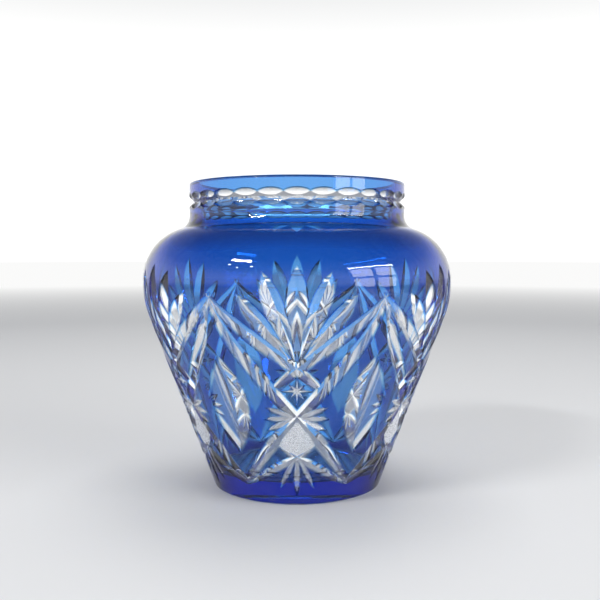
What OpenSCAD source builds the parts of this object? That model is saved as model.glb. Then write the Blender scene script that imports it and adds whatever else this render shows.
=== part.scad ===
// Cut crystal vase: a heavy clear crystal blank carrying a thin skin of cobalt glass.
// Cutting wheels have opened the skin into a ring of six repeated motifs, and what
// the wheels left standing is a set of separate blue islands fused to the clear body.

/* [Vase] */
// Height of the vase over the rim
vase_h = 200; // [150:1:300]
// Radius of the foot where the side wall meets the table
foot_r = 55.4; // [40:0.1:80]
// How much the wall opens out for each millimetre it rises
wall_flare = 0.375; // [0.2:0.005:0.6]
// Largest radius of the body
belly_r = 101.7; // [80:0.1:140]
// Height of the widest point
belly_z = 137; // [100:0.5:180]
// Radius of the rounding that carries the shoulder over
shoulder_round = 34.8; // [20:0.1:50]
// Radius of the straight neck
neck_r = 71.2; // [50:0.1:100]
// Radius of the hollow curve between shoulder and neck
neck_root_round = 9; // [4:0.5:20]
// Radius of the rounding inside the shoulder
hollow_round = 34; // [25:0.5:45]
// Radius of the curve inside the neck's root
hollow_root = 15; // [8:0.5:20]

/* [Glass] */
// Thickness of the cobalt skin
skin_t = 0.8; // [0.4:0.05:2]
// Wall thickness of the body, skin included
body_wall = 9.5; // [6:0.1:14]
// Wall thickness of the neck, skin included
neck_wall = 6.5; // [4:0.1:10]
// Thickness of the glass under the hollow
floor_t = 15; // [8:0.5:25]
// Rounding where the hollow's floor turns up into the wall
floor_round = 9; // [3:0.5:20]
// Rounding of the polished rim and of the foot's edge
edge_round = 1.5; // [0.5:0.1:2.5]

/* [Cutting] */
// Number of motifs round the vase
motifs = 6; // [4:1:8]
// Half the angle of the wheel that cuts the bands and leaves
mitre = 60; // [45:1:70]
// Half the angle of the wide wheel that cuts the tall lens windows
lens_mitre = 75; // [65:1:80]
// Half the angle of the wheel that cuts the leaves of the large fan
petal_mitre = 54; // [45:1:65]
// Half the angle of the wheel that cuts the small leaves
leaf_mitre = 50; // [45:1:65]
// Depth of the long curved bands
band_deep = 2.8; // [1.5:0.1:4]
// Depth of the tall lens windows
lens_deep = 4.6; // [2:0.1:5.5]
// Number of thumbprints round the neck
prints = 28; // [20:1:36]
// Depth of each neck thumbprint
print_deep = 2.3; // [1:0.05:3]
// Height of the thumbprints' centre line
print_z = 187.7; // [180:0.1:192]

/* [Hidden] */
$fn = 144;
step = 360 / motifs;
half = step / 2;
lean = atan(wall_flare);
// centres of the two curves that shape the belly
low_round = (foot_r + wall_flare * belly_z - belly_r) / (1 / cos(lean) - 1);
low_x = belly_r - low_round;
high_x = belly_r - shoulder_round;
root_x = neck_r + neck_root_round;
straight_top = belly_z - low_round * sin(lean);
root_z = belly_z + sqrt(pow(shoulder_round + neck_root_round, 2) - pow(root_x - high_x, 2));
shoulder_top = belly_z + shoulder_round * (root_z - belly_z) / (shoulder_round + neck_root_round);
far_out = 130;

// landmarks of the motif: angle from its centreline, height
focus = [0, 88];
knot = [0, 58];
crux = [0, 32];
crest = [half, 129];
toe = [half, 14.2];
star_z = 75;
print_edge = 36;
print_round = 7.5;
print_turn = 14;

// centre lines of the bands on the right of a motif, and the depth of the cut along them
upper_line = [[half + 0.6, 130], [25, 120.5], [13, 103.7], focus, [-5.5, 81.5], [-9.5, 76.5]];
upper_deep = [0, band_deep * 0.75, band_deep, band_deep * 0.8, band_deep * 0.5, 0.2];
long_line = [
    [half + 0.5, 130.5], [26.5, 114], [22, 99.5], [11.5, 77.5], knot,
    [-10.5, 42.5], [-22, 25], [-half - 0.5, 13.5]
];
long_deep = [
    0, band_deep * 0.7, band_deep, band_deep, band_deep * 0.8,
    band_deep, band_deep * 0.7, 0
];
short_line = [[half + 0.5, 13.5], [20, 19], [9, 26.5], crux, [-9, 39.5]];
short_deep = [0, band_deep * 0.6, band_deep * 0.8, band_deep * 0.75, 0.2];
leaf_tips = [[13.6, 64.8], [14.8, 57.2], [14.2, 49.8]];

// outer radius of the uncut vase at height z
function wall_r(z) =
    z < straight_top ? foot_r + wall_flare * z :
    z < belly_z ? low_x + sqrt(pow(low_round, 2) - pow(belly_z - z, 2)) :
    z < shoulder_top ? high_x + sqrt(pow(shoulder_round, 2) - pow(z - belly_z, 2)) :
    z < root_z ? root_x - sqrt(pow(neck_root_round, 2) - pow(root_z - z, 2)) :
    neck_r;

// outward direction of the uncut wall at angle a, height z
function wall_slope(z) = wall_r(z + 0.5) - wall_r(z - 0.5);
function out_dir(a, z) = [sin(a), -cos(a), -wall_slope(z)] / sqrt(1 + pow(wall_slope(z), 2));

// a point d below the uncut wall
function wall_point(p, d) =
    [wall_r(p[1]) * sin(p[0]), -wall_r(p[1]) * cos(p[0]), p[1]] - d * out_dir(p[0], p[1]);

function unit(v) = v / norm(v);
function mid(p, q) = (p + q) / 2;
function flip(p, s) = [s * p[0], p[1]];

// centre of the circle through three points
function ring_centre(a, b, c) =
    let (u = b - a, v = c - a, w = cross(u, v))
    a + (cross(w, u) * (v * v) + cross(v, w) * (u * u)) / (2 * (w * w));

// a straight V cut from wall point p to q; d: depth at each end; w: half angle of the V
module cut(p, q, d, w = mitre, over = 0.6) {
    a = wall_point(p, d[0]);
    b = wall_point(q, d[1]);
    m = mid(p, q);
    sag = norm(mid(a, b) - wall_point(m, 0));
    z = unit(b - a);
    out = out_dir(m[0], m[1]);
    x = unit(out - (out * z) * z);
    y = cross(z, x);
    o = a - over * z;
    reach = max(d[0], d[1], sag) + 1.5;
    multmatrix([
        [x[0], y[0], z[0], o[0]],
        [x[1], y[1], z[1], o[1]],
        [x[2], y[2], z[2], o[2]],
        [0, 0, 0, 1]
    ])
    linear_extrude(norm(b - a) + 2 * over)
    polygon([[0, 0], [reach, reach * tan(w)], [reach, -reach * tan(w)]]);
}

// a band: one V cut after another along a line
module band(line, deep, s) {
    for (i = [0 : len(line) - 2]) {
        cut(flip(line[i], s), flip(line[i + 1], s), [deep[i], deep[i + 1]]);
    }
}

// the leaf that a large wheel leaves, its edge passing through three points of the wall
module wheel_cut(p, q, r, deep, w) {
    a = wall_point(p, 0);
    b = wall_point(q, deep);
    c = wall_point(r, 0);
    o = ring_centre(a, b, c);
    k = unit(cross(b - a, c - a));
    ring = norm(a - o);
    swing = acos(unit(a - o) * unit(c - o));
    x = unit(a - o);
    y = cross(k, x);
    multmatrix([
        [x[0], y[0], k[0], o[0]],
        [x[1], y[1], k[1], o[1]],
        [x[2], y[2], k[2], o[2]],
        [0, 0, 0, 1]
    ])
    rotate_extrude(angle = swing)
    polygon([
        [ring, 0],
        [ring - deep - 1.5, (deep + 1.5) * tan(w)],
        [ring - deep - 1.5, -(deep + 1.5) * tan(w)]
    ]);
}

// half section of the vase at some depth under its uncut outside, in stacked slices
module half_section(inset, neck_inset, high, root, top = vase_h) {
    low = low_round - inset;
    over_x = belly_r - inset - high;
    neck_x = neck_r - neck_inset;
    rise = sqrt(pow(high + root, 2) - pow(neck_x + root - over_x, 2));
    bend_x = low_x + low * cos(lean);
    bend_z = belly_z - low * sin(lean);
    turn_x = over_x + high * (neck_x + root - over_x) / (high + root);
    turn_z = belly_z + high * rise / (high + root);
    polygon([[0, 0], [foot_r - inset / cos(lean), 0], [bend_x, bend_z], [0, bend_z]]);
    intersection() {
        translate([low_x, belly_z]) circle(low);
        translate([0, bend_z]) square([far_out, belly_z - bend_z]);
    }
    translate([0, belly_z]) square([over_x, turn_z - belly_z]);
    intersection() {
        translate([over_x, belly_z]) circle(high);
        translate([over_x, belly_z]) square([far_out, turn_z - belly_z]);
    }
    difference() {
        polygon([
            [0, turn_z - root], [over_x, turn_z - root], [turn_x, turn_z],
            [neck_x + root, belly_z + rise], [neck_x, belly_z + rise], [neck_x, top], [0, top]
        ]);
        translate([neck_x + root, belly_z + rise]) circle(root);
    }
}

// a ring's slice of thickness skin_t, between two directions from its centre
module bend(x, z, r, from, to) {
    intersection() {
        translate([x, z])
        difference() {
            circle(r);
            circle(r - skin_t);
        }
        polygon([
            [x, z], [x + far_out * cos(from), z + far_out * sin(from)],
            [x + far_out * cos(to), z + far_out * sin(to)]
        ]);
    }
}

// half section of the skin, piece by piece up the wall
module skin_section() {
    across = skin_t / cos(lean);
    low_end = [low_x + low_round * cos(lean), belly_z - low_round * sin(lean)];
    polygon([
        [foot_r, 0], low_end, low_end - skin_t * [cos(lean), -sin(lean)], [foot_r - across, 0]
    ]);
    bend(low_x, belly_z, low_round, -lean, 0);
    difference() {
        intersection() {
            half_section(0, 0, shoulder_round, neck_root_round);
            translate([0, belly_z]) square([far_out, vase_h]);
        }
        half_section(skin_t, skin_t, shoulder_round - skin_t, neck_root_round + skin_t, vase_h + 1);
    }
}

// the hollow, with its floor rounded up into the wall
module hollow_section() {
    centre_z = floor_t + floor_round;
    centre_x = foot_r + wall_flare * centre_z - (body_wall + floor_round) / cos(lean);
    meet_x = centre_x + floor_round * cos(lean);
    meet_z = centre_z - floor_round * sin(lean);
    intersection() {
        half_section(body_wall, neck_wall, hollow_round, hollow_root, vase_h + 1);
        translate([0, meet_z]) square([far_out, vase_h]);
    }
    polygon([[0, floor_t], [centre_x, floor_t], [meet_x, meet_z], [0, meet_z]]);
    intersection() {
        translate([centre_x, centre_z]) circle(floor_round);
        translate([centre_x, floor_t]) square([floor_round, meet_z - floor_t]);
    }
}

// what polishing takes off the rim's outer and inner edges and off the foot's edge
module eased_edges() {
    for (side = [0, 1]) {
        edge_x = side == 0 ? neck_r - edge_round : neck_r - neck_wall + edge_round;
        translate([edge_x, vase_h - edge_round])
        mirror([side, 0])
        difference() {
            square(edge_round + 1);
            circle(edge_round);
        }
    }
    polygon([[foot_r - edge_round, -1], [foot_r + 3, -1], [foot_r + 3, edge_round + 3]]);
}

// the five leaves of the large fan
module fan() {
    for (tip = [[-19.8, 132], [-11.2, 144.5], [0, 148], [11.2, 144.5], [19.8, 132]]) {
        cut(focus, tip, [0.2, 0], petal_mitre);
    }
}

module bands() {
    for (s = [-1, 1]) {
        band(upper_line, upper_deep, s);
        band(long_line, long_deep, s);
        band(short_line, short_deep, s);
    }
}

module burst() {
    for (s = [-1, 1]) {
        for (tip = leaf_tips) {
            cut(knot, mid(knot, flip(tip, s)), [1.2, 1.9], leaf_mitre);
            cut(mid(knot, flip(tip, s)), flip(tip, s), [1.9, 0], leaf_mitre);
        }
    }
}

module small_fan() {
    for (tip = [[-10.2, 11], [0, 6], [10.2, 11]]) {
        cut([0, 33], mid([0, 33], tip), [0.8, 1.8], leaf_mitre);
        cut(mid([0, 33], tip), tip, [1.8, 0], leaf_mitre);
    }
}

module lens_window() {
    wheel_cut([half, 95.6], [half, 65], [half, 33.2], lens_deep, lens_mitre);
}

// every second thumbprint of the ring, from the first or from the one beside it
module thumbprints(first) {
    for (i = [first : 2 : prints - 1]) {
        rotate([0, 0, i * 360 / prints])
        translate([0, -(neck_r + print_edge - print_deep), print_z])
        rotate([0, 0, 90 - print_turn])
        rotate_extrude(angle = 2 * print_turn)
        intersection() {
            translate([print_edge - print_round, 0]) circle(print_round);
            translate([print_edge - 2 * print_deep, -print_round]) square(2 * print_round);
        }
    }
}

// the fine groove that crosses every thumbprint
module neck_groove() {
    bottom = neck_r - print_deep - 0.7;
    rotate_extrude()
    polygon([[bottom, print_z], [neck_r + 1, print_z - 4.4], [neck_r + 1, print_z + 4.4]]);
}

// the neck's cuts, one set after the other
module with_cut_neck() {
    difference() {
        difference() {
            children();
            thumbprints(0);
        }
        thumbprints(1);
        neck_groove();
    }
}

module all_round() {
    for (i = [0 : motifs - 1]) {
        rotate([0, 0, i * step]) children();
    }
}

// the blank as it leaves the blower, under its skin
module blank() {
    rotate_extrude()
    difference() {
        half_section(skin_t, skin_t, shoulder_round - skin_t, neck_root_round + skin_t);
        hollow_section();
        eased_edges();
    }
}

// the cutter works round the vase once for each kind of cut
module crystal_body() {
    color([0.93, 0.96, 0.97, 0.6])
    with_cut_neck()
    difference() {
        difference() {
            difference() {
                difference() {
                    blank();
                    all_round() lens_window();
                }
                all_round() fan();
            }
            all_round() bands();
        }
        all_round() {
            burst();
            small_fan();
        }
    }
}

// the skin between two heights, before any wheel has touched it
module skin(low, high) {
    rotate_extrude()
    difference() {
        intersection() {
            skin_section();
            translate([0, low]) square([far_out, high - low]);
        }
        eased_edges();
    }
}

// where a wall point lies in the flat view square on from angle a
function seen(p, a) = [wall_r(p[1]) * sin(p[0] - a), p[1]];

// sideways step of size w from point i of a line, measured on the wall
function heading(line, i) =
    let (p = line[max(i - 1, 0)], q = line[min(i + 1, len(line) - 1)], r = wall_r(line[i][1]))
    unit([(q[0] - p[0]) * r * PI / 180, (q[1] - p[1]) / cos(lean)]);
function beside(line, i, w) =
    let (h = heading(line, i), r = wall_r(line[i][1]))
    [line[i][0] - w * h[1] / r * 180 / PI, line[i][1] + w * h[0] * cos(lean)];

// flat outline of the opening that a band or leaf leaves in the skin
module opening(line, deep, w, a, s = 1) {
    n = len(line);
    width = [for (d = deep) max(0.05, (d - skin_t / 2) * tan(w))];
    polygon([
        for (i = [0 : n - 1]) seen(flip(beside(line, i, width[i]), s), a),
        for (i = [n - 1 : -1 : 0]) seen(flip(beside(line, i, -width[i]), s), a)
    ]);
}

module band_openings(a) {
    for (s = [-1, 1]) {
        opening(upper_line, upper_deep, mitre, a, s);
        opening(long_line, long_deep, mitre, a, s);
        opening(short_line, short_deep, mitre, a, s);
    }
}

module leaf_opening(root, tip, deep, w, a) {
    opening([root, mid(root, tip), tip], [skin_t, deep, 0], w, a);
}

// an island of skin: what the flat outline given as children covers, seen from angle a
module island(low, high, a) {
    color([0.05, 0.16, 0.62, 0.85])
    intersection() {
        skin(low, high);
        rotate([0, 0, a])
        rotate([90, 0, 0])
        linear_extrude(far_out)
        children();
    }
}

module waste(a) {
    rotate([0, 0, a])
    translate([0, -30, 0])
    rotate([90, 0, 0])
    linear_extrude(far_out)
    children();
}

module outline(p, a) {
    polygon([for (q = p) seen(q, a)]);
}

module rim_casing() {
    color([0.05, 0.16, 0.62, 0.85])
    with_cut_neck() skin(print_z, vase_h);
}

module shoulder_casing() {
    color([0.05, 0.16, 0.62, 0.85])
    with_cut_neck()
    difference() {
        skin(80, print_z);
        for (i = [0 : motifs - 1]) {
            waste(i * step)
            union() {
                outline([
                    [-half, 129], [-13, 103.7], focus, [13, 103.7], [half, 129], [24, 70], [-24, 70]
                ], 0);
                band_openings(0);
                for (tip = [[-19.8, 132], [-11.2, 144.5], [0, 148], [11.2, 144.5], [19.8, 132]]) {
                    opening(
                        [focus, focus * 0.7 + tip * 0.3, focus * 0.35 + tip * 0.65, tip],
                        [0.5, 3.2, 4.3, 0.4], petal_mitre, 0
                    );
                }
            }
            waste(half + i * step)
            outline([crest, [21, 112], [8, 70], [52, 70], [39, 112]], half);
        }
    }
}

module foot_casing() {
    color([0.05, 0.16, 0.62, 0.85])
    difference() {
        difference() {
            skin(0.8, 34);
            for (i = [0 : motifs - 1]) {
                waste(i * step)
                outline([
                    [-half - 0.3, 13], [-9, 26.5], crux, [9, 26.5], [half + 0.3, 13],
                    [half + 0.3, 50], [-half - 0.3, 50]
                ], 0);
            }
        }
        for (i = [0 : motifs - 1]) {
            for (s = [-1, 1]) {
                waste(i * step)
                opening(short_line, short_deep, mitre, 0, s);
            }
            for (tip = [[-10.2, 11], [0, 6], [10.2, 11]]) {
                waste(i * step)
                leaf_opening([0, 33], tip, 1.9, leaf_mitre, 0);
            }
        }
    }
}

// the tall blue panel between two motifs, with its lens window
module lens_panel(i) {
    island(12, 132, half + (i - 1) * step)
    difference() {
        outline([
            crest, [26.5, 114], [22, 99.5], [11.5, 77.5], knot, [10.5, 42.5], [22, 25], toe,
            [step - 22, 25], [step - 10.5, 42.5], [step, knot[1]],
            [step - 11.5, 77.5], [step - 22, 99.5], [step - 26.5, 114]
        ], half);
        opening(long_line, long_deep, mitre, half);
        opening(long_line, long_deep, mitre, half, -1);
        opening([for (p = long_line) [step - p[0], p[1]]], long_deep, mitre, half);
        opening([for (p = long_line) [step + p[0], p[1]]], long_deep, mitre, half);
        for (tip = leaf_tips) {
            leaf_opening(knot, tip, 1.9, leaf_mitre, half);
            leaf_opening([step, knot[1]], [step - tip[0], tip[1]], 1.9, leaf_mitre, half);
        }
        opening(
            [[half, 95.6], [half, 86], [half, 76], [half, 64.4], [half, 53], [half, 43], [half, 33.2]],
            [0.5, 2.0, 3.3, 4.0, 3.3, 2.0, 0.5], lens_mitre, half
        );
    }
}

// the small blue diamond that carries the eight-rayed star
module star_panel(i) {
    island(54, 90, (i - 1) * step)
    difference() {
        outline([focus, [9.5, 76.5], knot, [-9.5, 76.5]], 0);
        band_openings(0);
        for (turn = [0 : 45 : 135]) {
            translate([0, star_z])
            rotate([0, 0, turn])
            polygon([
                [0, turn % 90 == 0 ? 8.8 : 5], [0.7, 0],
                [0, turn % 90 == 0 ? -8.8 : -5], [-0.7, 0]
            ]);
        }
    }
}

// the thin blue sliver between the two bands that spring from one crest
module bow(i, s) {
    island(70, 132, (i - 1) * step)
    difference() {
        outline([for (p = [crest, [25, 120.5], [13, 103.7], focus, [9.5, 76.5], [22, 99.5]]) flip(p, s)], 0);
        band_openings(0);
    }
}

// the blue triangle between a long band's lower leg and the short band under it
module leg(i, s) {
    island(12, 50, (i - 1) * step)
    difference() {
        outline([
            for (p = [toe, [22, 25], [11.5, 40], [9.2, 37.2], crux, [9, 26.5], [20, 19]]) flip(p, s)
        ], 0);
        band_openings(0);
    }
}

module lens_panel_1() lens_panel(1);
module lens_panel_2() lens_panel(2);
module lens_panel_3() lens_panel(3);
module lens_panel_4() lens_panel(4);
module lens_panel_5() lens_panel(5);
module lens_panel_6() lens_panel(6);
module star_panel_1() star_panel(1);
module star_panel_2() star_panel(2);
module star_panel_3() star_panel(3);
module star_panel_4() star_panel(4);
module star_panel_5() star_panel(5);
module star_panel_6() star_panel(6);
module bow_left_1() bow(1, -1);
module bow_left_2() bow(2, -1);
module bow_left_3() bow(3, -1);
module bow_left_4() bow(4, -1);
module bow_left_5() bow(5, -1);
module bow_left_6() bow(6, -1);
module bow_right_1() bow(1, 1);
module bow_right_2() bow(2, 1);
module bow_right_3() bow(3, 1);
module bow_right_4() bow(4, 1);
module bow_right_5() bow(5, 1);
module bow_right_6() bow(6, 1);
module leg_left_1() leg(1, -1);
module leg_left_2() leg(2, -1);
module leg_left_3() leg(3, -1);
module leg_left_4() leg(4, -1);
module leg_left_5() leg(5, -1);
module leg_left_6() leg(6, -1);
module leg_right_1() leg(1, 1);
module leg_right_2() leg(2, 1);
module leg_right_3() leg(3, 1);
module leg_right_4() leg(4, 1);
module leg_right_5() leg(5, 1);
module leg_right_6() leg(6, 1);

crystal_body();
rim_casing();
shoulder_casing();
foot_casing();
lens_panel_1();
lens_panel_2();
lens_panel_3();
lens_panel_4();
lens_panel_5();
lens_panel_6();
star_panel_1();
star_panel_2();
star_panel_3();
star_panel_4();
star_panel_5();
star_panel_6();
bow_left_1();
bow_left_2();
bow_left_3();
bow_left_4();
bow_left_5();
bow_left_6();
bow_right_1();
bow_right_2();
bow_right_3();
bow_right_4();
bow_right_5();
bow_right_6();
leg_left_1();
leg_left_2();
leg_left_3();
leg_left_4();
leg_left_5();
leg_left_6();
leg_right_1();
leg_right_2();
leg_right_3();
leg_right_4();
leg_right_5();
leg_right_6();
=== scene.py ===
"""A cobalt-cased crystal vase, cut through to clear by mitre wheels.

The clear blank and the blue skin are lathed from one wall line, and one set of wheel cuts
is taken out of both, so that every blue island ends exactly where the clear cut begins.
"""

import math

import bmesh
import bpy
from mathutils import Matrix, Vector


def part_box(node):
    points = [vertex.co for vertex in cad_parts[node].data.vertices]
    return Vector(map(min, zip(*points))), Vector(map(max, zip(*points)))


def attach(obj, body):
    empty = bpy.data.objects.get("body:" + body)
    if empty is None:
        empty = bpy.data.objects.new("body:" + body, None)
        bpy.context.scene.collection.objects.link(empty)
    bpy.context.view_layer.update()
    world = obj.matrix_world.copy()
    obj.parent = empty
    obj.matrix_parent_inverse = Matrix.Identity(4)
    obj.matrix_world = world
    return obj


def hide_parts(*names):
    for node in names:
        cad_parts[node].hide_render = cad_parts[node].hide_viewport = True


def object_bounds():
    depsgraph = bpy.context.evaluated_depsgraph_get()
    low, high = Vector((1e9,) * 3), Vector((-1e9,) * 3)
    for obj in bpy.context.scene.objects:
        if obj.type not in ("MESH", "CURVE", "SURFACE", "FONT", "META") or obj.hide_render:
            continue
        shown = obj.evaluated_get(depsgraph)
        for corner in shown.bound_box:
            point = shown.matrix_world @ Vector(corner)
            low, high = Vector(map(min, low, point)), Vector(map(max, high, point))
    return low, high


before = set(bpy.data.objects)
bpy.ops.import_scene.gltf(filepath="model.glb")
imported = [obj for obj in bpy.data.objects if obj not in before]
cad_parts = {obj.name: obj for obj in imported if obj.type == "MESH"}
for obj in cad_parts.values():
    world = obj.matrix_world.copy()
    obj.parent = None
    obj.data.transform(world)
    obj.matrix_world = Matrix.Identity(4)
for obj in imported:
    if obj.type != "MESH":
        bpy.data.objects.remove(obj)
cad_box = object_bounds()

MM = 0.001

# the vase's main sizes, in millimetres
HEIGHT = cad_box[1].z / MM
BELLY_R = 101.7
BELLY_Z = 137.0
FOOT_R = 55.4
FLARE = 0.375
NECK_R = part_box("rim_casing")[1].x / MM
SHOULDER_ROUND = 34.8
NECK_ROOT = 9.0
HOLLOW_ROUND = 34.0
HOLLOW_ROOT = 15.0
SKIN = 0.8
BODY_WALL = 9.5
NECK_WALL = 6.5
FLOOR = 15.0
FLOOR_ROUND = 9.0
EDGE_ROUND = 1.5
BOND = 0.015
ROUND_STEPS = 288

# the ring of thumbprints and the groove that joins their tips
PRINTS = 28
PRINT_Z = 187.7
PRINT_DEEP = 2.3
PRINT_WHEEL = 36.0
PRINT_EDGE = 7.5
PRINT_REACH = 10.2
GROOVE_EXTRA = 0.7
GROOVE_HALF = 4.4

# the motif: heights in millimetres, and turns in degrees from its middle
MOTIFS = 6
STEP = 360 / MOTIFS
HALF = STEP / 2
FOCUS = (0, 88)
KNOT = (0, 58)
SMALL_FAN_ROOT = (0, 34)
STAR_Z = 75
LENS_Z = 64.4
LENS_REACH = 31.2
FIELD = [(0, 61), (-8.7, 40), (0, 29.5), (8.7, 40)]
FIELD_CELLS = 13
BAND_DEEP = 2.8
BAND_ANGLE = 60

# the finish that a wheel leaves, kept on each face that it cuts
UNCUT, POLISHED, SATIN, GROUND = 0, 1, 2, 3

LEAN = math.atan(FLARE)
LOW_ROUND = (FOOT_R + FLARE * BELLY_Z - BELLY_R) / (1 / math.cos(LEAN) - 1)
LOW_X = BELLY_R - LOW_ROUND


# ---------------------------------------------------------------- the wall line

class Wall:
    """The vase's side at some depth under the uncut outside, as arcs and straight lines."""

    def __init__(self, inset, neck_inset, high, root):
        self.low, self.high, self.root = LOW_ROUND - inset, high, root
        self.over_x = BELLY_R - inset - high
        self.neck = NECK_R - neck_inset
        self.root_x = self.neck + root
        self.root_z = BELLY_Z + math.sqrt((high + root) ** 2 - (self.root_x - self.over_x) ** 2)
        self.turn = math.atan2(self.root_z - BELLY_Z, self.root_x - self.over_x)
        self.foot = FOOT_R - inset / math.cos(LEAN)
        self.bend_z = BELLY_Z - self.low * math.sin(LEAN)

    def radius(self, z):
        if z < self.bend_z:
            return self.foot + FLARE * z
        if z < BELLY_Z:
            return LOW_X + math.sqrt(self.low ** 2 - (BELLY_Z - z) ** 2)
        if z < BELLY_Z + self.high * math.sin(self.turn):
            return self.over_x + math.sqrt(self.high ** 2 - (z - BELLY_Z) ** 2)
        if z < self.root_z:
            return self.root_x - math.sqrt(self.root ** 2 - (self.root_z - z) ** 2)
        return self.neck

    def normal(self, r, z):
        """Outward direction in the (r, z) plane."""
        if z < self.bend_z:
            return math.cos(LEAN), -math.sin(LEAN)
        if z < BELLY_Z:
            way = (r - LOW_X, z - BELLY_Z)
        elif z < BELLY_Z + self.high * math.sin(self.turn):
            way = (r - self.over_x, z - BELLY_Z)
        elif z < self.root_z:
            way = (self.root_x - r, self.root_z - z)
        else:
            way = (1, 0)
        size = math.hypot(*way)
        return way[0] / size, way[1] / size

    def miss(self, r, z):
        """How far a point lies from this wall line."""
        if z < self.bend_z:
            return abs((r - self.foot - FLARE * z) * math.cos(LEAN))
        if z < BELLY_Z:
            return abs(math.hypot(r - LOW_X, z - BELLY_Z) - self.low)
        if z < BELLY_Z + self.high * math.sin(self.turn):
            return abs(math.hypot(r - self.over_x, z - BELLY_Z) - self.high)
        if z < self.root_z:
            return abs(math.hypot(r - self.root_x, z - self.root_z) - self.root)
        return abs(r - self.neck)

    def path(self, bottom, top, pitch=1.6):
        """Points up the wall from height bottom to height top."""
        arcs = (
            (LOW_X, BELLY_Z, self.low, -LEAN, 0.0),
            (self.over_x, BELLY_Z, self.high, 0.0, self.turn),
            (self.root_x, self.root_z, self.root, math.pi + self.turn, math.pi),
        )
        count = max(2, round((self.bend_z - bottom) / (2 * pitch)))
        points = [
            (self.foot + FLARE * z, z)
            for z in (bottom + (self.bend_z - bottom) * i / count for i in range(count))
        ]
        for x, z, r, start, end in arcs:
            count = max(6, round(abs(end - start) * r / pitch))
            points += [
                (x + r * math.cos(start + (end - start) * i / count),
                 z + r * math.sin(start + (end - start) * i / count))
                for i in range(count)
            ]
        count = max(2, round((top - self.root_z) / (2 * pitch)))
        points += [
            (self.neck, self.root_z + (top - self.root_z) * i / count)
            for i in range(count + 1)
        ]
        return points


outside = Wall(0, 0, SHOULDER_ROUND, NECK_ROOT)
under_skin = Wall(SKIN, SKIN, SHOULDER_ROUND - SKIN, NECK_ROOT + SKIN)
bonded_side = Wall(SKIN - BOND, SKIN - BOND, SHOULDER_ROUND - SKIN + BOND, NECK_ROOT + SKIN - BOND)
hollow_side = Wall(BODY_WALL, NECK_WALL, HOLLOW_ROUND, HOLLOW_ROOT)


def outward(angle, z):
    a = math.radians(angle)
    r, up = outside.normal(outside.radius(z), z)
    return Vector((math.sin(a) * r, -math.cos(a) * r, up))


def on_wall(angle, z, depth=0.0):
    a = math.radians(angle)
    r = outside.radius(z)
    return Vector((r * math.sin(a), -r * math.cos(a), z)) - depth * outward(angle, z)


# ---------------------------------------------------------------- mesh making

def new_mesh(name, points, faces):
    mesh = bpy.data.meshes.new(name)
    mesh.from_pydata([tuple(p) for p in points], [], faces)
    shape = bmesh.new()
    shape.from_mesh(mesh)
    bmesh.ops.recalc_face_normals(shape, faces=shape.faces)
    shape.to_mesh(mesh)
    shape.free()
    return mesh


def lathe(name, path, closed):
    """Turns a path of (r, z) about the axis. closed: the path's end joins its start."""
    points, faces, rings = [], [], []
    for r, z in path:
        if r < 1e-6:
            rings.append([len(points)])
            points.append((0, 0, z))
            continue
        rings.append(list(range(len(points), len(points) + ROUND_STEPS)))
        for i in range(ROUND_STEPS):
            a = 2 * math.pi * i / ROUND_STEPS
            points.append((r * math.sin(a), -r * math.cos(a), z))
    pairs = list(zip(rings, rings[1:] + rings[:1])) if closed else list(zip(rings, rings[1:]))
    for low, high in pairs:
        for i in range(ROUND_STEPS):
            j = (i + 1) % ROUND_STEPS
            if len(low) == 1:
                faces.append((low[0], high[j], high[i]))
            elif len(high) == 1:
                faces.append((low[i], low[j], high[0]))
            else:
                faces.append((low[i], low[j], high[j], high[i]))
    return new_mesh(name, points, faces)


def smooth_line(stops, count):
    """A curve of (angle, height, depth) through the stops, evenly stepped."""
    out = []
    spans = len(stops) - 1
    for k in range(count + 1):
        t = spans * k / count
        i = min(int(t), spans - 1)
        t -= i
        p1, p2 = stops[i], stops[i + 1]
        p0 = stops[i - 1] if i else tuple(2 * a - b for a, b in zip(p1, p2))
        p3 = stops[i + 2] if i + 2 <= spans else tuple(2 * a - b for a, b in zip(p2, p1))
        out.append(tuple(
            0.5 * (2 * b + (c - a) * t + (2 * a - 5 * b + 4 * c - d) * t ** 2
                   + (3 * b - a - 3 * c + d) * t ** 3)
            for a, b, c, d in zip(p0, p1, p2, p3)
        ))
    return out


def wheel_path(stops, half_angle, count=26, lift=1.5):
    """The solid that a mitre wheel sweeps: a V whose edge follows the stops."""
    line = smooth_line(stops, count)
    spread = math.tan(math.radians(half_angle))
    points, faces = [], []
    for i, (angle, z, depth) in enumerate(line):
        before, after = line[max(i - 1, 0)], line[min(i + 1, count)]
        edge = on_wall(angle, z, depth)
        along = (on_wall(*after) - on_wall(*before)).normalized()
        up = outward(angle, z)
        up = (up - up.dot(along) * along).normalized()
        side = along.cross(up)
        reach = depth + lift
        points += [edge, edge + reach * (up + spread * side), edge + reach * (up - spread * side)]
    for i in range(count):
        a, b = 3 * i, 3 * i + 3
        for j in range(3):
            k = (j + 1) % 3
            faces.append((a + j, a + k, b + k, b + j))
    faces += [(0, 2, 1), (3 * count, 3 * count + 1, 3 * count + 2)]
    return points, faces


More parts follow.
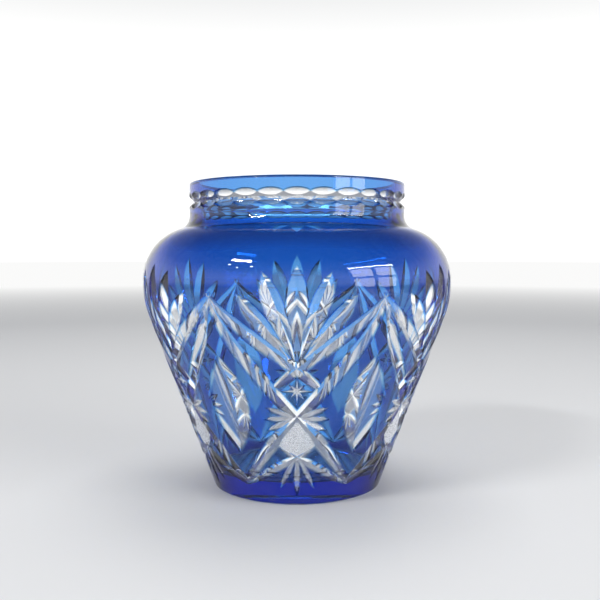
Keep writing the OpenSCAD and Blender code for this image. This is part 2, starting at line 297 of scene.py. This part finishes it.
def hatched_field(corners, cells, top, low, groove):
    """The solid that many fine crossing cuts take out of a four-sided field."""
    size = 2 * cells
    points, faces = [], []
    a, b, c, d = corners
    for layer in (0, 1):
        for i in range(size + 1):
            for j in range(size + 1):
                u, v = i / size, j / size
                angle, z = (
                    (1 - u) * (1 - v) * a[k] + u * (1 - v) * b[k] + u * v * c[k] + (1 - u) * v * d[k]
                    for k in (0, 1)
                )
                deep = low + groove * (i % 2 or j % 2)
                points.append(on_wall(angle, z, deep if layer == 0 else -top))
    n = size + 1
    per = n * n
    for i in range(size):
        for j in range(size):
            p, q, r, s = i * n + j, (i + 1) * n + j, (i + 1) * n + j + 1, i * n + j + 1
            if (i + j) % 2 == 0:
                faces += [(p, q, r), (p, r, s)]
            else:
                faces += [(p, q, s), (q, r, s)]
            faces.append((per + p, per + s, per + r, per + q))
    rim = [(0, j) for j in range(size)] + [(i, size) for i in range(size)]
    rim += [(size, j) for j in range(size, 0, -1)] + [(i, 0) for i in range(size, 0, -1)]
    for (i, j), (k, m) in zip(rim, rim[1:] + rim[:1]):
        faces.append((i * n + j, k * n + m, per + k * n + m, per + i * n + j))
    return points, faces


def turned(x, y, z, spin):
    """A point swung round the axis by spin radians."""
    return x * math.cos(spin) - y * math.sin(spin), x * math.sin(spin) + y * math.cos(spin), z


def thumbprint(turn_by):
    """One shallow oval, cut by a round-edged wheel that turns level with the table."""
    half_turn = math.asin(PRINT_REACH / PRINT_WHEEL)
    centre = NECK_R + PRINT_WHEEL - PRINT_DEEP
    around, along = 40, 10
    points, faces = [], []
    spin = math.radians(turn_by)
    for i in range(along + 1):
        a = -half_turn + 2 * half_turn * i / along
        for j in range(around):
            b = 2 * math.pi * j / around
            r = PRINT_WHEEL - PRINT_EDGE + PRINT_EDGE * math.cos(b)
            x, y = r * math.sin(a), r * math.cos(a) - centre
            points.append(turned(x, y, PRINT_Z + PRINT_EDGE * math.sin(b), spin))
    for i in range(along):
        for j in range(around):
            k = (j + 1) % around
            low, high = i * around, (i + 1) * around
            faces.append((low + j, low + k, high + k, high + j))
    faces.append(tuple(range(around - 1, -1, -1)))
    faces.append(tuple(along * around + j for j in range(around)))
    return points, faces


def tag(mesh, finish):
    """Marks every face with the finish that its wheel leaves."""
    mark = mesh.attributes.new("finish", "INT", "FACE")
    mark.data.foreach_set("value", [finish] * len(mesh.polygons))
    return mesh


def solid(parts, finish=POLISHED):
    return bpy.data.objects.new("tool", tag(new_mesh("tool", *parts), finish))


def carve(mesh, tools, operation):
    """mesh joined with, or less, each of the tools in turn."""
    body = bpy.data.objects.new("work", mesh)
    bpy.context.scene.collection.objects.link(body)
    for tool in tools:
        bpy.context.scene.collection.objects.link(tool)
        step = body.modifiers.new("cut", "BOOLEAN")
        step.operation = operation
        step.solver = "MANIFOLD"
        step.object = tool
    graph = bpy.context.evaluated_depsgraph_get()
    result = bpy.data.meshes.new_from_object(body.evaluated_get(graph))
    for tool in list(tools) + [body]:
        used = tool.data
        bpy.data.objects.remove(tool)
        if used.users == 0:
            bpy.data.meshes.remove(used)
    return result


# ---------------------------------------------------------------- the cuts

def leaf(root, tip, deep, half_angle, swell=(0.04, 0.36, 0.82, 1.0, 0.89, 0.52, 0.0),
         at=(0.0, 0.2, 0.45, 0.63, 0.8, 0.92, 1.0), count=22):
    """A pointed leaf: swell is the share of the full depth at each share of its length."""
    stops = [
        (root[0] + (tip[0] - root[0]) * t, root[1] + (tip[1] - root[1]) * t, deep * s)
        for t, s in zip(at, swell)
    ]
    return wheel_path(stops, half_angle, count)


def small_leaf(root, tip, deep, half_angle=50):
    swell, at = (0.6, 0.85, 1.0, 0.8, 0.0), (0, 0.25, 0.5, 0.78, 1.0)
    return leaf(root, tip, deep, half_angle, swell, at, 10)


# each band's edge as (turn, height, share of the full depth), from its crest to its tail
UPPER_BAND = [
    (31.4, 132, 0.0), (HALF, 129.6, 0.4), (25, 120.5, 0.76), (13, 103.7, 1.0), (0, 88, 0.85),
    (-5.5, 81.5, 0.62), (-9.3, 76.8, 0.38), (-11.2, 74.5, 0.0),
]
LONG_BAND = [
    (31.2, 133, 0.0), (HALF, 129, 0.42), (26.5, 114, 0.76), (22, 99.5, 1.0), (11.5, 77.5, 1.0),
    (0, 58, 0.82), (-10.5, 42.5, 1.0), (-22, 25, 0.76), (-HALF, 14.2, 0.42), (-31.6, 12.2, 0.0),
]
SHORT_BAND = [
    (31.6, 12.4, 0.0), (HALF, 13.8, 0.45), (20, 19, 0.66), (9, 26.5, 0.86), (0, 32, 0.78),
    (-8, 38.5, 0.36), (-10, 41, 0.0),
]
BURST_TIPS = ((13.6, 64.8), (14.8, 57.2), (14.2, 49.8))


def band(stops, side, deep=BAND_DEEP, count=40):
    return wheel_path([(side * a, z, deep * d) for a, z, d in stops], BAND_ANGLE, count)


def motif_cuts():
    """Every cut of the motif that faces the front, and the finish that each wheel leaves."""
    cuts = [(leaf(FOCUS, (0, 148), 4.4, 57), POLISHED)]
    for side in (-1, 1):
        cuts.append((leaf(FOCUS, (side * 11.2, 144.5), 4.3, 56), POLISHED))
        cuts.append((leaf(FOCUS, (side * 19.8, 132), 3.7, 56), POLISHED))
        cuts.append((band(UPPER_BAND, side), POLISHED))
        cuts.append((band(LONG_BAND, side, count=64), POLISHED))
        cuts.append((band(SHORT_BAND, side, 2.4), POLISHED))
        for tip in BURST_TIPS:
            cuts.append((small_leaf(KNOT, (side * tip[0], tip[1]), 2.1), SATIN))
        cuts.append((small_leaf(SMALL_FAN_ROOT, (side * 10.2, 11), 1.9), SATIN))
    cuts.append((small_leaf(SMALL_FAN_ROOT, (0, 6), 2.0), SATIN))
    # the fine star's four lines cross to make eight rays
    for angle, rise in ((0, 9.4), (6.4, 0), (3.1, 4.4), (3.1, -4.4)):
        line = [(-angle, STAR_Z - rise, 0.5), (0, STAR_Z, 1.6), (angle, STAR_Z + rise, 0.5)]
        cuts.append((wheel_path(line, 42, 10, 1.0), GROUND))
    cuts.append((hatched_field(FIELD, FIELD_CELLS, 2.5, 0.95, 0.6), GROUND))
    return cuts


def lens_cut():
    """The pointed window in the panel between two motifs."""
    shares = (-1, -0.6, -0.2, 0.2, 0.6, 1)
    stops = [(HALF, LENS_Z + LENS_REACH * u, 4.7 * (1 - u * u)) for u in shares]
    return wheel_path(stops, 75, 32)


def all_cuts():
    """One closed solid of everything that the wheels take away."""
    one = [solid(*cut) for cut in motif_cuts()] + [solid(lens_cut())]
    motif = carve(one[0].data.copy(), one[1:], "UNION")
    bpy.data.objects.remove(one[0])
    others = []
    for i in range(1, MOTIFS):
        copy = motif.copy()
        spin = math.radians(i * STEP)
        for v in copy.vertices:
            v.co = turned(*v.co, spin)
        others.append(bpy.data.objects.new("tool", copy))
    prints = [solid(thumbprint(i * 360 / PRINTS)) for i in range(PRINTS)]
    groove = lathe("tool", [
        (NECK_R - PRINT_DEEP - GROOVE_EXTRA, PRINT_Z),
        (NECK_R + 1, PRINT_Z - GROOVE_HALF),
        (NECK_R + 1, PRINT_Z + GROOVE_HALF),
    ], True)
    ring = bpy.data.objects.new("tool", tag(groove, POLISHED))
    return carve(motif, others + prints + [ring], "UNION")


def rim_arc(x, start, end, count=8):
    """The lip's rounding about radius x, between two angles."""
    z = HEIGHT - EDGE_ROUND
    return [
        (x + EDGE_ROUND * math.cos(start + (end - start) * i / count),
         z + EDGE_ROUND * math.sin(start + (end - start) * i / count))
        for i in range(count + 1)
    ]


def blank_mesh():
    """The clear glass before it is cut."""
    side = under_skin.path(1.2, HEIGHT - EDGE_ROUND)
    centre_z = FLOOR + FLOOR_ROUND
    centre_x = FOOT_R + FLARE * centre_z - (BODY_WALL + FLOOR_ROUND) / math.cos(LEAN)
    meet_z = centre_z - FLOOR_ROUND * math.sin(LEAN)
    hollow = [p for p in hollow_side.path(meet_z, HEIGHT - EDGE_ROUND) if p[1] > meet_z + 0.3]
    corner = [
        (centre_x + FLOOR_ROUND * math.cos(a), centre_z + FLOOR_ROUND * math.sin(a))
        for a in (-LEAN - (math.pi / 2 - LEAN) * i / 10 for i in range(11))
    ]
    out_x, in_x = NECK_R - EDGE_ROUND, NECK_R - NECK_WALL + EDGE_ROUND
    first = math.acos((EDGE_ROUND - SKIN) / EDGE_ROUND)
    path = [(0, 0), (20, 0), (40, 0), (FOOT_R - 1.7, 0), (FOOT_R - 1.1, 0.3)] + side
    path += rim_arc(out_x, first, math.pi / 2) + rim_arc(in_x, math.pi / 2, math.pi)
    path += hollow[::-1][1:] + corner
    path += [(centre_x * share, FLOOR) for share in (0.75, 0.5, 0.25, 0)]
    return tag(lathe("blank", path, False), UNCUT)


def skin_mesh():
    """The cobalt skin before it is cut."""
    out = outside.path(1.0, HEIGHT - EDGE_ROUND)
    inner = bonded_side.path(1.0, HEIGHT - EDGE_ROUND)
    last = math.acos((EDGE_ROUND - SKIN + BOND) / EDGE_ROUND)
    arc = rim_arc(NECK_R - EDGE_ROUND, 0, last)
    path = [(FOOT_R - 0.5, 0.8)] + out[:-1] + arc + inner[::-1]
    return tag(lathe("skin", path, True), UNCUT)


# ---------------------------------------------------------------- finishes

GLASS_IOR = 1.54


class Wire:
    """A shader socket that can be used in sums."""

    def __init__(self, finish, socket):
        self.finish, self.socket = finish, socket

    def sum(self, operation, *others):
        node = self.finish.tree.nodes.new("ShaderNodeMath")
        node.operation = operation
        for slot, value in zip(node.inputs, others):
            if isinstance(value, Wire):
                self.finish.tree.links.new(value.socket, slot)
            else:
                slot.default_value = value
        return Wire(self.finish, node.outputs[0])

    def __add__(self, other): return self.sum("ADD", self, other)
    def __radd__(self, other): return self.sum("ADD", other, self)
    def __sub__(self, other): return self.sum("SUBTRACT", self, other)
    def __rsub__(self, other): return self.sum("SUBTRACT", other, self)
    def __mul__(self, other): return self.sum("MULTIPLY", self, other)
    def __rmul__(self, other): return self.sum("MULTIPLY", other, self)
    def __truediv__(self, other): return self.sum("DIVIDE", self, other)
    def __rtruediv__(self, other): return self.sum("DIVIDE", other, self)
    def clipped(self): return self.sum("MAXIMUM", self.sum("MINIMUM", self, 1.0), 0.0)


class Finish:
    """A procedural material, or the world, with its nodes made by one method."""

    def __init__(self, name, tree=None):
        if tree is None:
            self.material = bpy.data.materials.new(name)
            self.material.use_nodes = True
            tree = self.material.node_tree
        self.tree = tree
        tree.nodes.clear()

    def node(self, kind, settings=None, outputs=(0,), **sockets):
        """One node. A socket is given by its name, or as _0, _1 and so on by its place."""
        node = self.tree.nodes.new("ShaderNode" + kind)
        for key, value in (settings or {}).items():
            if key == "stops":
                ramp = node.color_ramp
                while len(ramp.elements) < len(value):
                    ramp.elements.new(0.5)
                for element, (at, colour) in zip(ramp.elements, value):
                    element.position, element.color = at, colour
            else:
                setattr(node, key, value)
        for key, value in sockets.items():
            slot = node.inputs[int(key[1:]) if key[0] == "_" else key.replace("_", " ")]
            if isinstance(value, Wire):
                self.tree.links.new(value.socket, slot)
            else:
                slot.default_value = value
        wires = [Wire(self, node.outputs[o]) for o in outputs]
        return wires[0] if len(wires) == 1 else wires

    def done(self, surface, volume=None):
        inside = {"Volume": volume} if volume else {}
        self.node("OutputMaterial", outputs=(), Surface=surface, **inside)
        return self.material


def ripple(finish, slow, fine):
    """Surface relief of hand-made glass: a slow ripple and fine wheel marks, in millimetres."""
    place = finish.node("TexCoord", outputs=(3,))
    wave = finish.node("TexNoise", Vector=place, Scale=38.0, Detail=1.5)
    marks = finish.node("TexNoise", Vector=place, Scale=1500.0, Detail=2.0)
    return marks, finish.node("Bump", Strength=1.0, Distance=MM, Height=wave * slow + marks * fine)


def crystal(name, slow, rough, fine, clearness):
    """Clear glass. rough: what the wheel left. clearness: the share that isn't scattered."""
    finish = Finish(name)
    marks, normal = ripple(finish, slow, fine)
    return finish.done(finish.node(
        "BsdfPrincipled", Base_Color=(0.985, 0.992, 0.996, 1),
        Roughness=(marks * rough * 2).clipped(), IOR=GLASS_IOR, Transmission_Weight=clearness,
        Normal=normal))


def bond():
    """Where skin and crystal are fused there is no surface to see."""
    finish = Finish("fused_under_skin")
    return finish.done(finish.node(
        "BsdfPrincipled", Base_Color=(1, 1, 1, 1), Roughness=0.0, Transmission_Weight=1.0,
        IOR=GLASS_IOR, Alpha=0.0))


def cobalt(name, density):
    """Blue glass that takes its colour from its depth, with no surface where it is fused."""
    finish = Finish(name)
    marks, normal = ripple(finish, 0.05, 0.0)
    fused = finish.node("Attribute", {"attribute_name": "fused"}, outputs=(2,))
    shader = finish.node(
        "BsdfPrincipled", Base_Color=(1, 1, 1, 1), Roughness=(marks * 0.02).clipped(),
        IOR=GLASS_IOR, Transmission_Weight=1.0, Alpha=1 - fused, Normal=normal)
    depth = finish.node("VolumeAbsorption", Color=(0.044, 0.548, 0.872, 1), Density=density)
    return finish.done(shader, depth)


# ---------------------------------------------------------------- the pieces

def true_normals(mesh, walls, slack=0.03):
    """Smooth shading from the wall line itself; cut faces keep their own crisp planes."""
    mesh.set_sharp_from_angle(angle=math.radians(14))
    normals = [(0.0, 0.0, 0.0)] * len(mesh.loops)
    kinds = []
    for face in mesh.polygons:
        c = face.center
        r = math.hypot(c.x, c.y)
        kind = None
        for label, wall, sign, low, high in walls:
            if low <= c.z <= high and wall.miss(r, c.z) < slack:
                flat = wall.normal(r, c.z)
                facing = Vector((flat[0] * c.x / r, flat[0] * c.y / r, flat[1])) * sign
                if facing.dot(face.normal) > 0.97:
                    kind = (label, wall, sign)
                    break
        kinds.append(kind[0] if kind else None)
        if kind:
            for i in face.loop_indices:
                p = mesh.vertices[mesh.loops[i].vertex_index].co
                q = math.hypot(p.x, p.y)
                flat = kind[1].normal(q, p.z)
                across = kind[2] * flat[0] / q
                normals[i] = (across * p.x, across * p.y, kind[2] * flat[1])
    mesh.polygons.foreach_set("use_smooth", [True] * len(mesh.polygons))
    mesh.normals_split_custom_set(normals)
    return kinds


def to_metres(mesh):
    for v in mesh.vertices:
        v.co = v.co * MM


def show(name, mesh, nodes):
    piece = bpy.data.objects.new(name, mesh)
    bpy.context.scene.collection.objects.link(piece)
    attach(piece, "root")
    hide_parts(*nodes)
    return piece


def islands(mesh):
    """The skin's separate islands, each as its own mesh, largest first."""
    parent = list(range(len(mesh.vertices)))

    def top(i):
        while parent[i] != i:
            parent[i] = parent[parent[i]]
            i = parent[i]
        return i

    for edge in mesh.edges:
        a, b = top(edge.vertices[0]), top(edge.vertices[1])
        if a != b:
            parent[a] = b
    groups = {}
    for face in mesh.polygons:
        groups.setdefault(top(face.vertices[0]), []).append(face.index)
    out = []
    for group in sorted(groups.values(), key=len, reverse=True):
        index, points, faces = {}, [], []
        for f in group:
            face = []
            for v in mesh.polygons[f].vertices:
                if v not in index:
                    index[v] = len(points)
                    points.append(tuple(mesh.vertices[v].co))
                face.append(index[v])
            faces.append(face)
        part = bpy.data.meshes.new("island")
        part.from_pydata(points, [], faces)
        out.append(part)
    return out


def island_name(points):
    """Which island this is, from where it lies."""
    low, high = min(p[2] for p in points), max(p[2] for p in points)
    xs, ys = [p[0] for p in points], [p[1] for p in points]
    if max(xs) - min(xs) > 100 and max(ys) - min(ys) > 100:
        return "rim_casing" if low > 150 else "shoulder_casing" if low > 50 else "foot_casing"
    turn = math.degrees(math.atan2(sum(xs), -sum(ys)))
    near = round(turn / STEP) * STEP
    off = turn - near
    count = int(round(near / STEP)) % MOTIFS + 1
    if high - low > 60 and abs(off) > 20:
        return "lens_panel_%d" % (int(math.floor(turn / STEP)) % MOTIFS + 1)
    middle = (low + high) / 2
    if abs(off) < 3 and 60 < middle < 90:
        return "star_panel_%d" % count
    side = "left" if off < 0 else "right"
    if 80 < middle and high - low > 20:
        return "bow_%s_%d" % (side, count)
    if middle < 45 and high - low > 14:
        return "leg_%s_%d" % (side, count)
    return None


# carve() uses its tools up, so the body and the skin each get their own copy of the cuts
cuts = all_cuts()
body_tool = bpy.data.objects.new("tool", cuts)
skin_tool = bpy.data.objects.new("tool", cuts.copy())
body = carve(blank_mesh(), [body_tool], "DIFFERENCE")
skin = carve(skin_mesh(), [skin_tool], "DIFFERENCE")

# crystal: ripple, roughness, wheel marks, clearness
clear = crystal("clear_crystal", 0.06, 0.0, 0.0, 1.0)
cut_face = crystal("polished_cut", 0.03, 0.0, 0.0, 0.93)
satin = crystal("satin_cut", 0.03, 0.14, 0.03, 0.74)
ground = crystal("ground_crystal", 0.03, 0.30, 0.08, 0.50)
fused = bond()
blue = cobalt("cobalt_casing", 3250.0)
# painted shade: the foot's skin absorbs nearly twice as strongly as the rest, to darken the lower
# vase
foot_painted_shade_blue = cobalt("cobalt_foot_painted_shade", 6200.0)

kinds = true_normals(body, [
    ("skin", under_skin, 1, 0.9, HEIGHT - 1.0),
    ("hollow", hollow_side, -1, 22.0, HEIGHT - 1.5),
])
body.materials.clear()
for m in (clear, cut_face, satin, ground, fused):
    body.materials.append(m)
marks = [0] * len(body.polygons)
body.attributes["finish"].data.foreach_get("value", marks)
for face, kind, mark in zip(body.polygons, kinds, marks):
    face.material_index = 4 if kind == "skin" else 0 if kind == "hollow" else mark
to_metres(body)
show("cut_crystal_body", body, ["crystal_body"])

found = set()
for part in islands(skin):
    points = [v.co for v in part.vertices]
    name = island_name(points)
    # a crumb of skin that the wheels leave at a crossing belongs to no island
    if name is None or name in found:
        bpy.data.meshes.remove(part)
        continue
    found.add(name)
    kinds = true_normals(part, [
        ("outside", outside, 1, 1.0, HEIGHT - EDGE_ROUND),
        ("fused", bonded_side, -1, 0.5, HEIGHT),
    ])
    mask = part.attributes.new("fused", "FLOAT", "FACE")
    mask.data.foreach_set("value", [1.0 if k == "fused" else 0.0 for k in kinds])
    # the foot island takes the denser blue, a painted shade on the lower vase
    part.materials.append(foot_painted_shade_blue if name == "foot_casing" else blue)
    to_metres(part)
    show("cobalt_" + name, part, [name])


# ---------------------------------------------------------------- stage, light and camera

def stage_floor():
    """A pale disc that fades to white far away."""
    rings, around, level = (0.3, 0.8, 1.6, 3.0, 6.0, 12.0), 48, -0.0002
    points, faces = [(0.0, 0.0, level)], []
    for k, r in enumerate(rings):
        points += [
            (r * math.sin(2 * math.pi * i / around), r * math.cos(2 * math.pi * i / around), level)
            for i in range(around)
        ]
        for i in range(around):
            j = (i + 1) % around
            here = 1 + k * around
            if k == 0:
                faces.append((0, here + j, here + i))
            else:
                faces.append((here - around + i, here - around + j, here + j, here + i))
    mesh = bpy.data.meshes.new("floor")
    mesh.from_pydata(points, [], faces)
    floor = bpy.data.objects.new("studio_floor", mesh)
    bpy.context.scene.collection.objects.link(floor)
    finish = Finish("pale_floor")
    place = finish.node("TexCoord", outputs=(3,))
    away = finish.node("VectorMath", {"operation": "LENGTH"}, outputs=(1,), _0=place)
    far = ((away - 1.3) / 1.9).clipped()
    near = finish.node("BsdfPrincipled", Base_Color=(0.74, 0.74, 0.74, 1), Roughness=0.6)
    white = finish.node("Emission", Color=(0.96, 0.96, 0.955, 1), Strength=1.0)
    mesh.materials.append(finish.done(finish.node("MixShader", _0=far, _1=near, _2=white)))


def area_light(name, place, turn, width, height, watts):
    data = bpy.data.lights.new(name, "AREA")
    data.shape = "RECTANGLE"
    data.size, data.size_y, data.energy = width, height, watts
    light = bpy.data.objects.new(name, data)
    light.location = place
    light.rotation_euler = turn.to_euler()
    bpy.context.scene.collection.objects.link(light)
    return light


def lamp(name, place, width, height, watts, mirrored=True):
    """A soft box that faces the vase's middle."""
    turn = (Vector((0, 0, 0.12)) - Vector(place)).to_track_quat("-Z", "Y")
    area_light(name, place, turn, width, height, watts).visible_glossy = mirrored


def window(place, aim, panes):
    """A window of several panes: each is (across, up, width, height, watts) from its middle."""
    turn = (Vector(aim) - Vector(place)).to_track_quat("-Z", "Y")
    for i, (across, up, width, height, watts) in enumerate(panes):
        spot = Vector(place) + turn @ Vector((across, up, 0))
        area_light("pane_%d" % i, spot, turn, width, height, watts)


def surroundings():
    """A pale horizon all round under a dim ceiling, as in a studio lit by boxes."""
    world = bpy.data.worlds.new("studio")
    world.use_nodes = True
    sky = Finish("studio", world.node_tree)
    way = sky.node("TexCoord", outputs=(0,))
    up = sky.node("SeparateXYZ", outputs=(2,), _0=way)
    shade = sky.node("ValToRGB", {"stops": [
        (0.0, (0.80, 0.80, 0.80, 1)), (0.50, (1.0, 1.0, 0.99, 1)), (0.60, (0.98, 0.98, 0.97, 1)),
        (0.72, (0.34, 0.35, 0.37, 1)), (0.86, (0.10, 0.11, 0.13, 1)),
    ]}, Fac=up * 0.5 + 0.5)
    glow = sky.node("Background", Color=shade, Strength=1.22)
    sky.node("OutputWorld", outputs=(), Surface=glow)
    bpy.context.scene.world = world


stage_floor()
surroundings()
lamp("left_box", (-0.9, -0.9, 1.15), 0.40, 0.10, 9)
lamp("top_box", (0.1, 0.5, 1.9), 1.2, 1.2, 16, mirrored=False)
window((1.05, -0.72, 0.40), (0.03, -0.08, 0.13), [
    (0, 0.34, 0.84, 0.03, 3.6), (-0.22, 0.13, 0.36, 0.28, 1.9), (0.20, 0.13, 0.34, 0.28, 1.7),
    (-0.22, -0.22, 0.36, 0.28, 1.5), (0.20, -0.22, 0.34, 0.28, 1.3),
])
window((-0.75, -0.95, 0.80), (0, 0, 0.12), [
    (-0.28, 0.05, 0.03, 0.03, 0.25), (-0.12, -0.06, 0.04, 0.03, 0.3), (0.1, 0.02, 0.03, 0.03, 0.25),
])

scene = bpy.context.scene
eye = bpy.data.cameras.new("camera")
eye.lens = 48.078
eye.shift_x = 0.005
camera = bpy.data.objects.new("camera", eye)
camera.location = (0.0, -2.69 * cad_box[1].z, 0.777 * cad_box[1].z)
camera.rotation_euler = (math.radians(86.52), 0, 0)
scene.collection.objects.link(camera)
scene.camera = camera

scene.view_settings.view_transform = "Standard"
scene.cycles.max_bounces = 40
scene.cycles.transmission_bounces = 40
scene.cycles.transparent_max_bounces = 40
scene.cycles.glossy_bounces = 12

# working meshes that no piece uses
for old in list(bpy.data.meshes):
    if old.users == 0:
        bpy.data.meshes.remove(old)
